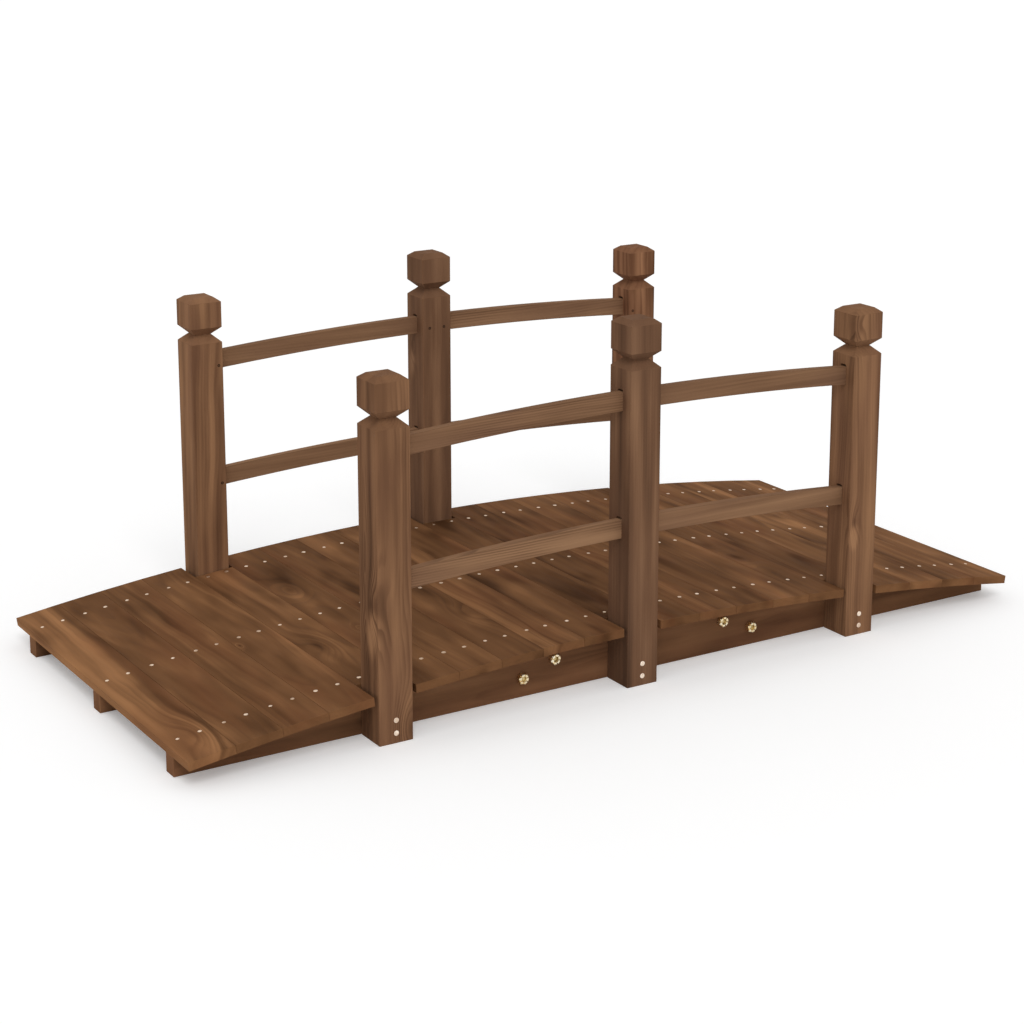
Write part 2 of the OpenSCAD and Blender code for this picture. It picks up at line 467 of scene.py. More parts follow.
# %% [markdown]
# ## Rings, bands and sapwood
# The rings are the distance from the pith, cut into years. A Wave texture could draw plain rings, but
# in fir each one ripens slowly and ends sharply, which takes a sum of its own. A stem isn't a perfect
# cylinder, so soft noise sways every point first. Good and poor years come in broad bands that follow
# the rings. Outside the heartwood a dark rim ends in paler sapwood, and a few pieces are cut across it.

# %% Rings
BROAD_SWAY = (520.0, 120.0, 120.0)
CLOSE_SWAY = (130.0, 34.0, 34.0)
CLOSE_SHARE = (0.24, 0.24, 0.24)
RIPENING = (0.05, 0.84)
RIPENING_CURVE = 1.6
LINE_END = (0.86, 0.99)
BAND_SEED_STEP = 5.3
BAND_LENGTH = 700.0
BAND_DETAIL = 1.5
ONE_BAND = (1.0, 1.0, 1.0)
RIM_WIDTH = 3.4
RIM_DEPTH = 1.0
RIM_TO_SAPWOOD = 3.0


def swayed_grain(tree, grain, field, inputs):
    """A point of the grain, pushed sideways as the stem wanders."""
    close = vector(tree, "MULTIPLY", drift(tree, field, CLOSE_SWAY), CLOSE_SHARE)
    sway = vector(tree, "ADD", drift(tree, field, BROAD_SWAY), close)
    reach = place_from(tree, y=inputs["Wander"], z=inputs["Wander"])
    return vector(tree, "ADD", grain, vector(tree, "MULTIPLY", sway, reach))


def rings_in_fir(tree, swayed, swell, inputs):
    """The late line of each ring, 0 in the pale early wood and 1 in the line, the bands and the sapwood."""
    apart = tree.nodes.new("ShaderNodeSeparateXYZ")
    feed(tree, apart.inputs[0], vector(tree, "SUBTRACT", swayed, inputs["Pith"]))
    along, across, out = apart.outputs
    rise = number(tree, "MULTIPLY_ADD", along, inputs["Slope"], out)
    tapered = number(tree, "MULTIPLY_ADD", along, inputs["Taper"], swell)
    from_pith = vector(tree, "LENGTH", place_from(tree, y=across, z=rise))
    radius = number(tree, "ADD", from_pith, tapered)
    year = number(tree, "FRACT", number(tree, "DIVIDE", radius, inputs["Ring gap"]))
    ripening = number(tree, "POWER", between(tree, year, *RIPENING), RIPENING_CURVE)
    late = number(tree, "MULTIPLY", ripening, between(tree, year, *LINE_END, 1.0, 0.0))
    years = place_from(
        tree,
        number(tree, "DIVIDE", radius, inputs["Band width"]),
        number(tree, "MULTIPLY", inputs["Seed"], BAND_SEED_STEP),
        number(tree, "DIVIDE", along, BAND_LENGTH),
    )
    band = clouds(tree, years, ONE_BAND, BAND_DETAIL)
    past_heart = number(tree, "SUBTRACT", radius, inputs["Heart radius"])
    past_heart = number(tree, "DIVIDE", past_heart, RIM_WIDTH)
    paler = between(tree, past_heart, 0.0, RIM_TO_SAPWOOD)
    sapwood = number(tree, "MULTIPLY_ADD", hump(tree, past_heart, 1.0), -RIM_DEPTH, paler)
    return late, band, sapwood


print("the late line starts at", RIPENING[0], "of a year and ends at", LINE_END[1])

# %% [markdown]
# ## The tone of the stain
# Rings, bands, knots, long streaks, soft clouds, smudges and fine fibres each make the stain lighter or
# darker. They could be mixed as colours, but then each would need its own. Here they add up to one tone,
# from 0 for dark to 1 for light. End grain drinks stain evenly, so rings, bands, streaks and clouds fade
# there: how far a face looks along the grain says how much. Where four numbers stand in a row, the
# first two are a range and the last two are what it is brought to.

# %% Tone of the fir
MIDDLE_TONE = 0.5
END_FACE = (0.25, 0.75)
END_RINGS = 0.3
STREAK_NOISE = ((320.0, 20.0, 20.0), 1.0, 0.45)
CLOUD_NOISE = ((170.0, 46.0, 46.0), 2.0, 0.45)
FIBRE_STRENGTH = 0.16
FADE_SIZES = (210.0, 30.0, 30.0)
FADE = (0.36, 0.66, 0.05, 1.0)
CROWDED_LINES = 0.5
SMUDGE_NOISE = ((125.0, 42.0, 42.0), 1.0, 0.4)
SMUDGE_EDGE = (0.46, 0.78)
KNOT_CORE = (0.06, 0.60, 0.6, 0.0)
PALE_PART = (0.25, 1.40, 1.4, 0.0)


def ring_lines(tree, field, late, bent, inputs):
    """How dark the late lines are: they come and go along the stem, and crowd round a knot."""
    fade = between(tree, clouds(tree, field, FADE_SIZES), *FADE)
    depth = number(tree, "MULTIPLY", fade, inputs["Ring strength"])
    crowded = number(tree, "MULTIPLY", bent, inputs["Knot depth"])
    crowded = number(tree, "MULTIPLY", crowded, CROWDED_LINES)
    return number(tree, "MULTIPLY", late, number(tree, "ADD", depth, crowded))


def tone_of_fir(tree, field, fibre, rings, knots, inputs):
    """How light the stain comes out, from 0 to 1."""
    late, band, sapwood = rings
    knot, bent, pale = knots
    even = between(tree, inputs["End grain"], *END_FACE, 1.0, END_RINGS)
    streaks = centred(tree, clouds(tree, field, *STREAK_NOISE))
    cloud = centred(tree, clouds(tree, field, *CLOUD_NOISE))
    lighter = (
        (number(tree, "MULTIPLY", streaks, even), inputs["Streaks"]),
        (number(tree, "MULTIPLY", centred(tree, band), even), inputs["Band strength"]),
        (sapwood, inputs["Sapwood"]),
        (number(tree, "MULTIPLY", cloud, even), inputs["Cloudiness"]),
        (centred(tree, fibre), FIBRE_STRENGTH),
    )
    smudge = between(tree, clouds(tree, field, *SMUDGE_NOISE), *SMUDGE_EDGE)
    darker = (
        (ring_lines(tree, field, late, bent, inputs), even),
        (smudge, inputs["Smudges"]),
        (between(tree, knot, *KNOT_CORE), inputs["Knot depth"]),
    )
    tone = number(tree, "ADD", inputs["Tone"], MIDDLE_TONE)
    for pattern, strength in lighter:
        tone = number(tree, "MULTIPLY_ADD", pattern, strength, tone)
    for pattern, strength in darker:
        tone = number(tree, "SUBTRACT", tone, number(tree, "MULTIPLY", pattern, strength))
    return number(tree, "MULTIPLY_ADD", between(tree, pale, *PALE_PART), inputs["Knot depth"], tone)


print("end grain keeps", END_RINGS, "of the pattern")

# %% [markdown]
# ## Growing the group
# The tone picks a colour between three tones of brown, with a drift towards a redder one. A Color Ramp
# could do that, but its colours can't be inputs of a group, so two mixes do it here. The same
# fibres and late lines also make the surface rougher or smoother and a little uneven, because the hard
# late wood stands up where the soft wood was brushed away.

# %% Grow the fir
SEED_STEP = (1371.0, 337.0, 733.0)
KNOT_HUMP = 0.5
KNOT_SWELL = 1.3
FIBRE_NOISE = ((75.0, 1.8, 1.8), 2.0, 0.6)
BLUSH_SIZES = (260.0, 70.0, 70.0)
BLUSH_RANGE = (0.46, 0.68, 0.0, 0.5)
BLUSH_DEPTH = 0.5
FIBRE_ROUGHNESS = (0.25, 0.75, 0.68, 0.82)
LATE_ROUGHNESS = -0.10
FIBRE_HEIGHT = 0.65
LATE_HEIGHT = 0.35


def stain_of_fir(tree, field, tone, inputs):
    """The colour for a tone."""
    to_middle = between(tree, tone, 0.0, MIDDLE_TONE, soft=False)
    to_light = between(tree, tone, MIDDLE_TONE, 1.0, soft=False)
    brown = blended(tree, to_middle, inputs["Dark"], inputs["Middle"])
    brown = blended(tree, to_light, brown, inputs["Light"])
    redness = between(tree, clouds(tree, field, BLUSH_SIZES), *BLUSH_RANGE)
    return blended(tree, redness, brown, blended(tree, BLUSH_DEPTH, brown, inputs["Blush"]))


def grow_fir():
    """The node group that every timber material uses."""
    tree = bpy.data.node_groups.new("stained_fir", "ShaderNodeTree")
    for direction, sockets in (("INPUT", FIR_INPUTS), ("OUTPUT", FIR_OUTPUTS)):
        for kind, names in sockets.items():
            for name in names:
                tree.interface.new_socket(name, in_out=direction, socket_type=kind)
    inputs = tree.nodes.new("NodeGroupInput").outputs
    results = tree.nodes.new("NodeGroupOutput").inputs
    grain = inputs["Grain"]
    field = vector(tree, "MULTIPLY_ADD", inputs["Seed"], SEED_STEP, grain)
    knot, bend, pale = knots_in_fir(tree, grain, field, inputs)
    bent = hump(tree, bend, KNOT_HUMP)
    swell = number(tree, "MULTIPLY", bent, number(tree, "MULTIPLY", inputs["Knot size"], KNOT_SWELL))
    swayed = swayed_grain(tree, grain, field, inputs)
    rings = rings_in_fir(tree, swayed, swell, inputs)
    late = rings[0]
    fibre = clouds(tree, swayed, *FIBRE_NOISE)
    tone = tone_of_fir(tree, field, fibre, rings, (knot, bent, pale), inputs)
    rough = between(tree, fibre, *FIBRE_ROUGHNESS)
    raised = number(tree, "MULTIPLY", fibre, FIBRE_HEIGHT)
    feed(tree, results["Colour"], stain_of_fir(tree, field, tone, inputs))
    feed(tree, results["Roughness"], number(tree, "MULTIPLY_ADD", late, LATE_ROUGHNESS, rough))
    feed(tree, results["Height"], number(tree, "MULTIPLY_ADD", late, LATE_HEIGHT, raised))
    return tree


stained_fir = grow_fir()
print("fir group:", len(stained_fir.nodes), "nodes")

# %% [markdown]
# ## A finish for each piece
# Every stick is cut from another place in the tree, so each piece has its own material: the same group
# with its own seed, pith and tone. The grain runs along the longest side of a piece. Turning the
# coordinates so that the grain always runs along the first axis lets one group serve them all. Each
# palette is dark, middle, light and blush, and every kind of piece took the stain in its own way.

# %% Timber materials
PALETTES = {
    "post": (paint(72, 50, 36), paint(116, 83, 60), paint(160, 119, 86), paint(112, 77, 61)),
    "grey_post": (paint(70, 50, 38), paint(113, 82, 61), paint(154, 117, 88), paint(105, 77, 60)),
    "red_post": (paint(70, 46, 32), paint(117, 81, 58), paint(164, 120, 88), paint(118, 76, 57)),
    "rail": (paint(82, 57, 41), paint(124, 92, 68), paint(160, 123, 92), paint(119, 87, 70)),
    "stringer": (paint(80, 54, 38), paint(127, 90, 63), paint(162, 120, 87), paint(130, 86, 62)),
    "board": (paint(70, 45, 27), paint(117, 81, 53), paint(160, 114, 76), paint(124, 77, 50)),
}
TURNS = {"x": (0.0, 0.0, 0.0), "y": (0.0, 0.0, -math.pi / 2), "z": (0.0, math.pi / 2, 0.0)}
GRAIN_AXES = {"x": (1.0, 0.0, 0.0), "y": (0.0, 1.0, 0.0), "z": (0.0, 0.0, 1.0)}
FIR_SHINE = 0.015
FIR_BUMP = 0.6
FIR_BUMP_DEPTH = 0.0005


def centre_of(name):
    """The middle of a CAD piece."""
    low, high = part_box(name)
    return (low + high) / 2


def turned_place(place, along):
    """Where a place of the frame lies once the grain is turned to the first axis, in millimetres."""
    x, y, z = place * MILLIMETRES
    return {"x": Vector((x, y, z)), "y": Vector((y, -x, z)), "z": Vector((z, y, -x))}[along]


def fir_finish(name, along, palette, **settings):
    """A material of stained fir for one piece, with the grain along one axis of the frame."""
    material = bpy.data.materials.new(name + "_finish")
    material.use_nodes = True
    tree = material.node_tree
    shader = tree.nodes["Principled BSDF"]
    shader.inputs["Specular IOR Level"].default_value = FIR_SHINE
    turn = tree.nodes.new("ShaderNodeMapping")
    turn.inputs["Rotation"].default_value = TURNS[along]
    turn.inputs["Scale"].default_value = (MILLIMETRES, MILLIMETRES, MILLIMETRES)
    turn.inputs["Location"].default_value = -turned_place(centre_of(name), along)
    feed(tree, turn.inputs["Vector"], tree.nodes.new("ShaderNodeTexCoord").outputs["Object"])
    outward = tree.nodes.new("ShaderNodeNewGeometry").outputs["Normal"]
    towards_end = number(tree, "ABSOLUTE", vector(tree, "DOT_PRODUCT", outward, GRAIN_AXES[along]))
    fir = tree.nodes.new("ShaderNodeGroup")
    fir.node_tree = stained_fir
    feed(tree, fir.inputs["Grain"], turn.outputs["Vector"])
    feed(tree, fir.inputs["End grain"], towards_end)
    for socket, colour in zip(FIR_INPUTS["NodeSocketColor"], PALETTES[palette]):
        fir.inputs[socket].default_value = colour
    for socket, setting in settings.items():
        fir.inputs[socket.replace("_", " ").capitalize()].default_value = setting
    bump = tree.nodes.new("ShaderNodeBump")
    bump.inputs["Strength"].default_value = FIR_BUMP
    bump.inputs["Distance"].default_value = FIR_BUMP_DEPTH
    feed(tree, bump.inputs["Height"], fir.outputs["Height"])
    feed(tree, shader.inputs["Base Color"], fir.outputs["Colour"])
    feed(tree, shader.inputs["Roughness"], fir.outputs["Roughness"])
    feed(tree, shader.inputs["Normal"], bump.outputs["Normal"])
    return material


print("palettes:", ", ".join(PALETTES))

# %% [markdown]
# ## Worn and highlit edges, knots and chance
# The narrow faces that the bevel made get a plainer, paler version of the same wood. This is partly
# where the stain has worn thin, and partly a painted highlight on the rounded edge. It could be painted
# along each edge, but one material for each kind of piece is enough at this width. A knot is a bundle
# of four settings. What no photograph can tell, such as the pith of a hidden piece, is drawn by chance
# from a fixed seed, so that every run gives the same bridge.

# %% Edges, knots and chance
# how much lighter the edge faces are: thinner stain plus a painted highlight
WEAR_AND_HIGHLIGHT = {"post": 0.10, "rail": 0.08, "stringer": 0.08, "board": 0.10}
EDGE_PITH = (0.0, 40.0, 40.0)
EDGE_SEED = 7.0
NO_KNOT = (9000.0, 0.0, 0.0)
CHANCE_SEED = 11


def knot_at(place, size, depth, bend_place=NO_KNOT):
    """Settings for a knot: its place from the piece's middle, its size, how dark it is, and a bend."""
    return {"knot_place": place, "knot_size": size, "knot_depth": depth, "bend_place": bend_place}


KNOTLESS = knot_at(NO_KNOT, 10.0, 0.0)


def worn_highlit_edge(name, along, palette):
    """The same wood, paler for thinner stain and for a painted highlight, for the narrow faces that the
    bevel makes.
    """
    material = fir_finish(
        name, along, palette, seed=EDGE_SEED, pith=EDGE_PITH, slope=0.0,
        ring_gap=6.0, ring_strength=0.1, band_width=9.0, band_strength=0.5, wander=20.0,
        tone=WEAR_AND_HIGHLIGHT[palette], streaks=0.5, cloudiness=0.6, smudges=0.1, small_knots=0.3, **KNOTLESS,
    )
    material.name = palette + "_edge"
    return material


def dress(name, material, edge):
    """Gives a CAD piece its material, and the paler one for its edges: worn stain and painted highlight."""
    mesh = nodes[name].data
    mesh.materials.clear()
    mesh.materials.append(material)
    mesh.materials.append(edge)


chance = random.Random(CHANCE_SEED)


def within(limit):
    """A draw between minus a limit and plus it."""
    return chance.uniform(-limit, limit)


def on_either_side(reach):
    """A draw from a range, on one side or the other."""
    return chance.choice((-1, 1)) * chance.uniform(*reach)


print("edges are lighter by", WEAR_AND_HIGHLIGHT)

# %% [markdown]
# ## The posts
# Each post is a square stick with a V cut round its neck and sloped edges on its cap. Most have their
# pith just outside one corner, so two faces show long straight bands and the others wider flames. All
# could share one look, but these six are what the eye rests on. So each has a row of its own: palette,
# tone, ring size, ring strength and band strength. Two have a known pith, one is from a stem that grew
# straight, and three have knots.

# %% Post finishes
POSTS = {
    "front_left_post": ("post", 0.08, 0.8, 0.28, 0.95),
    "front_middle_post": ("grey_post", 0.02, 1.0, 0.10, 0.75),
    "front_right_post": ("post", 0.15, 0.9, 0.18, 0.75),
    "rear_left_post": ("post", 0.22, 1.0, 0.10, 1.0),
    "rear_middle_post": ("grey_post", 0.01, 1.0, 0.08, 0.6),
    "rear_right_post": ("red_post", 0.09, 1.5, 0.30, 2.2),
}
POST_KNOTS = {
    "front_left_post": knot_at((-66.0, -8.0, 28.0), 15.0, 0.40, (-256.0, -27.0, -16.0)),
    "front_right_post": knot_at((-78.0, -28.0, 17.0), 9.0, 0.34, (246.0, -27.0, 22.0)),
    "rear_middle_post": knot_at((120.0, 10.0, 28.0), 10.0, 0.25),
}
POST_PITHS = {"front_left_post": (0.0, 8.0, 21.0), "front_middle_post": (0.0, -40.0, -42.0)}
POST_SEEDS = {"front_middle_post": 331.0}
FIRST_POST_SEED = 3.0
STRAIGHT_POSTS = ("front_middle_post",)
POST_TAPER = 0.03
POST_WANDER = 30.0
STRAIGHT_WANDER = 10.0
POST_PITH_REACH = (24, 44)
POST_SLOPE = 0.02
POST_RING_GAP = (4.5, 6.5)
POST_BAND_WIDTH = (11.0, 15.0)
post_edge = worn_highlit_edge("front_left_post", "z", "post")
for index, (post, row) in enumerate(POSTS.items()):
    palette, tone, ring_size, ring_strength, band_strength = row
    straight = post in STRAIGHT_POSTS
    drawn_pith = (0.0, on_either_side(POST_PITH_REACH), on_either_side(POST_PITH_REACH))
    finish = fir_finish(
        post, "z", palette, seed=POST_SEEDS.get(post, FIRST_POST_SEED + index),
        pith=POST_PITHS.get(post, drawn_pith), taper=0.0 if straight else POST_TAPER,
        slope=within(POST_SLOPE), ring_gap=ring_size * chance.uniform(*POST_RING_GAP),
        ring_strength=ring_strength, band_width=chance.uniform(*POST_BAND_WIDTH),
        band_strength=band_strength, wander=STRAIGHT_WANDER if straight else POST_WANDER,
        tone=tone, streaks=0.85, cloudiness=0.45, smudges=0.06, small_knots=0.5,
        **POST_KNOTS.get(post, KNOTLESS),
    )
    dress(post, finish, post_edge)
print("posts:", len(POSTS))

# %% [markdown]
# ## The rails
# The rails are sawn to an arc from straight-grained boards, so five or six fine lines run along each.
# The lines could be drawn along the arc, but on the real rail they run straight out of the curve, as
# they do here. Each row is ring gap, ring strength and tone.

# %% Rail finishes
RAILS = {
    "front_left_upper_rail": (4.0, 0.42, 0.04),
    "front_left_lower_rail": (4.2, 0.42, 0.23),
    "front_right_upper_rail": (5.5, 0.14, 0.0),
    "front_right_lower_rail": (6.0, 0.08, 0.11),
    "rear_left_upper_rail": (5.0, 0.10, 0.07),
    "rear_left_lower_rail": (5.5, 0.07, 0.17),
    "rear_right_upper_rail": (4.6, 0.32, 0.18),
    "rear_right_lower_rail": (5.0, 0.16, 0.05),
}
FIRST_RAIL_SEED = 21.0
RAIL_PITH_ASIDE = 20
RAIL_PITH_AWAY = 75.0
RAIL_SLOPE = 0.01
RAIL_BAND_WIDTH = (8.0, 11.0)
rails = list(RAILS)
rail_edge = worn_highlit_edge(rails[0], "x", "rail")
for index, (rail, (ring_gap, ring_strength, tone)) in enumerate(RAILS.items()):
    finish = fir_finish(
        rail, "x", "rail", seed=FIRST_RAIL_SEED + index,
        pith=(0.0, within(RAIL_PITH_ASIDE), chance.choice((-1, 1)) * RAIL_PITH_AWAY),
        slope=within(RAIL_SLOPE), ring_gap=ring_gap, ring_strength=ring_strength,
        band_width=chance.uniform(*RAIL_BAND_WIDTH), band_strength=0.55, wander=17.0,
        tone=tone, streaks=0.45, cloudiness=0.3, smudges=0.0, small_knots=0.25, **KNOTLESS,
    )
    dress(rail, finish, rail_edge)
print("rails:", len(rails))

# %% [markdown]
# ## Stringers and splice plates
# Under the deck three arched stringers carry the load. Each is two halves on one flat foot, joined by
# a plate. A darker stain could make them look as dark as they do, but on the real bridge that is the
# shade of the deck. The stain on them is as thin as on the rails.

# %% Stringer finishes
FIRST_BEARER_SEED = 41.0
BEARER_PITH_REACH = (45, 80)
BEARER_PITH_ASIDE = 30
BEARER_SLOPE = 0.02
BEARER_RING_GAP = (4.5, 6.5)
BEARER_BAND_WIDTH = (9.0, 12.0)
BEARER_TONE = (-0.08, 0.0)
bearers = [name for name in nodes if name.endswith(("stringer", "plate"))]
stringer_edge = worn_highlit_edge(bearers[0], "x", "stringer")
for index, bearer in enumerate(bearers):
    finish = fir_finish(
        bearer, "x", "stringer", seed=FIRST_BEARER_SEED + index,
        pith=(0.0, on_either_side(BEARER_PITH_REACH), within(BEARER_PITH_ASIDE)),
        slope=within(BEARER_SLOPE), ring_gap=chance.uniform(*BEARER_RING_GAP), ring_strength=0.16,
        band_width=chance.uniform(*BEARER_BAND_WIDTH), band_strength=0.9, wander=30.0,
        tone=chance.uniform(*BEARER_TONE), streaks=0.6, cloudiness=0.5, smudges=0.1, small_knots=0.6,
        **KNOTLESS,
    )
    dress(bearer, finish, stringer_edge)
print("bearers:", len(bearers))

# %% [markdown]
# ## The deck boards
# The boards are flat-sawn: the pith lies below or above the face, so the rings come out as flames and
# long swooshes, and each board takes the stain a little differently. One long texture over the deck
# would be quicker, but no line of grain crosses a gap between two boards. The first ones are cleaner.
# Two are cut near the bark, and their rows give the pith, the reach of the heartwood and how much paler
# the sapwood is.

# %% Board finishes
BOARD_TONES = (
    0.08, 0.02, -0.02, 0.04, 0.07, 0.04, -0.02, -0.10, -0.03, -0.13, -0.14,
    -0.10, -0.02, -0.04, 0.03, -0.04, -0.05, 0.05, 0.15, 0.06, 0.09,
)
SAPWOOD_BOARDS = {
    "deck_board_01": ((0.0, -60.0, -40.0), 64.0, 0.20),
    "deck_board_09": ((0.0, -60.0, -40.0), 75.0, 0.16),
}
BOARD_KNOTS = {
    "deck_board_01": (-262.0, -6.0, 6.0),
    "deck_board_05": (-117.0, 10.0, 6.0),
    "deck_board_06": (121.0, 9.0, 6.0),
    "deck_board_08": (-144.0, -16.0, 6.0),
    "deck_board_13": (-60.0, 12.0, 6.0),
    "deck_board_16": (-126.0, 21.0, 6.0),
    "deck_board_19": (80.0, -15.0, 6.0),
}
BOARD_KNOT_SIZE = 17.0
BOARD_KNOT_DEPTH = 0.16
FIRST_BOARD_SEED = 61.0
BOARD_PITH_ASIDE = 34
BOARD_PITH_REACH = (30, 75)
BOARD_SLOPE = 0.05
BOARD_RING_GAP = (5.0, 8.0)
BOARD_BAND_WIDTH = (10.0, 14.0)
CLEAN_BOARDS = 6
CLEAN_SMUDGES = 0.18
BOARD_SMUDGES = 0.30
boards = sorted(name for name in nodes if "board" in name)
board_edge = worn_highlit_edge(boards[0], "y", "board")
for index, (board, tone) in enumerate(zip(boards, BOARD_TONES)):
    drawn_pith = (0.0, within(BOARD_PITH_ASIDE), on_either_side(BOARD_PITH_REACH))
    pith, heart_radius, sapwood = SAPWOOD_BOARDS.get(board, (drawn_pith, 0.0, 0.0))
    finish = fir_finish(
        board, "y", "board", seed=FIRST_BOARD_SEED + index,
        pith=pith, heart_radius=heart_radius, sapwood=sapwood, slope=within(BOARD_SLOPE),
        ring_gap=chance.uniform(*BOARD_RING_GAP), ring_strength=0.10,
        band_width=chance.uniform(*BOARD_BAND_WIDTH), band_strength=0.85, wander=40.0,
        tone=tone, streaks=0.45, cloudiness=0.7, small_knots=0.5,
        smudges=CLEAN_SMUDGES if index < CLEAN_BOARDS else BOARD_SMUDGES,
        **knot_at(BOARD_KNOTS.get(board, NO_KNOT), BOARD_KNOT_SIZE, BOARD_KNOT_DEPTH),
    )
    dress(board, finish, board_edge)
print("boards:", len(boards))

# %% [markdown]
# ## Turned metal
# Nails, screws and nuts are small, but they are what shows that the bridge was built and not carved.
# A cylinder would do from far away. Here each head is a stack of rings, closed at both ends. A ring's
# radius may depend on the angle, which makes it six-sided or cross-shaped, and so may its height, which
# cuts notches into a rim.

# %% Turned shapes
SIDES = 24
SIXTH = math.pi / 3
NOTCH_HALF = math.radians(5)
NEVER_ZERO = 1e-6


def from_sixth(angle):
    """How far an angle is from the nearest sixth of a turn."""
    return (angle + SIXTH / 2) % SIXTH - SIXTH / 2


def hexagon(across_flats):
    """The radius of a hexagon at an angle."""
    def radius(angle):
        return across_flats / 2 / math.cos(from_sixth(angle))
    return radius


def cross(length, width):
    """The radius of a cross-shaped recess at an angle."""
    def arm(along, across):
        to_end = length / 2 / max(abs(along), NEVER_ZERO)
        to_side = width / 2 / max(abs(across), NEVER_ZERO)
        return min(to_end, to_side)
    def radius(angle):
        return max(arm(math.cos(angle), math.sin(angle)), arm(math.sin(angle), math.cos(angle)))
    return radius


def crown(peak, notch):
    """The height of a rim with six notches at an angle."""
    def height(angle):
        return notch if abs(from_sixth(angle)) < NOTCH_HALF else peak
    return height


def turned(rings, sides=SIDES):
    """Points and faces of a closed solid from (radius, height) rings, bottom ring first, in millimetres."""
    points = []
    for radius, height in rings:
        for side in range(sides):
            angle = 2 * math.pi * side / sides
            reach = radius(angle) if callable(radius) else radius
            level = height(angle) if callable(height) else height
            corner = Vector((reach * math.cos(angle), reach * math.sin(angle), level))
            points.append(corner / MILLIMETRES)
    faces = []
    for ring in range(len(rings) - 1):
        low = ring * sides
        for side in range(sides):
            after = (side + 1) % sides
            faces.append((low + side, low + after, low + sides + after, low + sides + side))
    last = (len(rings) - 1) * sides
    faces.append(tuple(reversed(range(sides))))
    faces.append(tuple(range(last, last + sides)))
    return points, faces


print("shapes are turned with", SIDES, "sides or more")

# %% [markdown]
# ## Fasteners in rows
# There are nearly two hundred fasteners. Each could be an object, but the list of pieces would drown in
# them. So those of one kind are joined into one piece, with one copy of the shape at each place.

# %% Joined fasteners
SHARP_ANGLE = math.radians(32)


def joined(name, shape, places, material):
    """One piece made of a shape repeated at each place, riding with the bridge."""
    points, faces = shape
    all_points = []
    all_faces = []
    for place in places:
        first = len(all_points)
        all_points += [place @ point for point in points]
        all_faces += [[first + corner for corner in face] for face in faces]
    mesh = bpy.data.meshes.new(name)
    mesh.from_pydata(all_points, [], all_faces)
    mesh.polygons.foreach_set("use_smooth", [True] * len(mesh.polygons))
    mesh.set_sharp_from_angle(angle=SHARP_ANGLE)
    mesh.materials.append(material)
    piece = bpy.data.objects.new(name, mesh)
    scene.collection.objects.link(piece)
    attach(piece, "root")
    print(name + ":", len(places))


def facing(place, direction, spin=0.0):
    """A place on a surface, with the shape's axis along the direction out of it."""
    turn = Vector(direction).to_track_quat("Z", "Y").to_matrix().to_4x4()
    return Matrix.Translation(place) @ turn @ Matrix.Rotation(spin, 4, "Z")


print("edges sharper than", round(math.degrees(SHARP_ANGLE)), "degrees stay crisp")

# %% [markdown]
# ## Metal finishes
# The fasteners are steel with a yellow passivated zinc coat. It is never even: the coat drifts from
# straw to pale pink, and driving the nails has scuffed it. A metal's colour is the colour of what it
# mirrors, so one even colour would look like plastic. The noise goes into colour, roughness and a fine
# bump together. Each row is a dull colour, a bright one and the roughness.

# %% Metal materials
METALS = {
    "nail_zinc": (paint(198, 170, 142), paint(238, 217, 194), 0.42),
    "screw_zinc": (paint(218, 192, 168), paint(255, 240, 222), 0.36),
    "bolt_zinc": (paint(240, 216, 166), paint(254, 244, 218), 0.22),
    # bolt ends: duller steel, darkened further as painted shade inside the nut's hole
    "bolt_steel_painted_shade": (paint(160, 138, 88), paint(216, 194, 142), 0.34),
    # rail screws: near black as painted shade of the holes they sit in
    "screw_painted_hole_shade": (paint(38, 27, 21), paint(58, 42, 32), 0.5),
}
COAT_NOISE = ((9.0, 9.0, 9.0), 3.0)
SCUFF_NOISE = ((0.7, 2.4, 1.1), 3.0, 0.6)
NOISE_RANGE = (0.3, 0.7)
SCUFF_SMOOTHER = 0.08
SCUFF_ROUGHER = 0.12
METAL_BUMP = 0.3
METAL_BUMP_DEPTH = 0.0001


def zinc_finish(name, dull, bright, roughness):
    """A coated metal that drifts between two colours, with scuffs."""
    material = bpy.data.materials.new(name)
    material.use_nodes = True
    tree = material.node_tree
    shader = tree.nodes["Principled BSDF"]
    shader.inputs["Metallic"].default_value = 1.0
    place = tree.nodes.new("ShaderNodeTexCoord").outputs["Object"]
    grain = vector(tree, "MULTIPLY", place, (MILLIMETRES, MILLIMETRES, MILLIMETRES))
    coat = between(tree, clouds(tree, grain, *COAT_NOISE), *NOISE_RANGE)
    scuff = clouds(tree, grain, *SCUFF_NOISE)
    rough_range = (roughness - SCUFF_SMOOTHER, roughness + SCUFF_ROUGHER)
    bump = tree.nodes.new("ShaderNodeBump")
    bump.inputs["Strength"].default_value = METAL_BUMP
    bump.inputs["Distance"].default_value = METAL_BUMP_DEPTH
    feed(tree, bump.inputs["Height"], scuff)
    feed(tree, shader.inputs["Base Color"], blended(tree, coat, dull, bright))
    feed(tree, shader.inputs["Roughness"], between(tree, scuff, *NOISE_RANGE, *rough_range))
    feed(tree, shader.inputs["Normal"], bump.outputs["Normal"])
    return material


metals = {name: zinc_finish(name, *look) for name, look in METALS.items()}
print("metals:", ", ".join(metals))

# %% [markdown]
# ## Deck nails
# Two nails go through each board into each of the three stringers. Their heads stand a little proud
# and their rows follow the stringers. An array would set them out too neatly, so each is placed by
# itself, with the small misses of a hand that drives it.

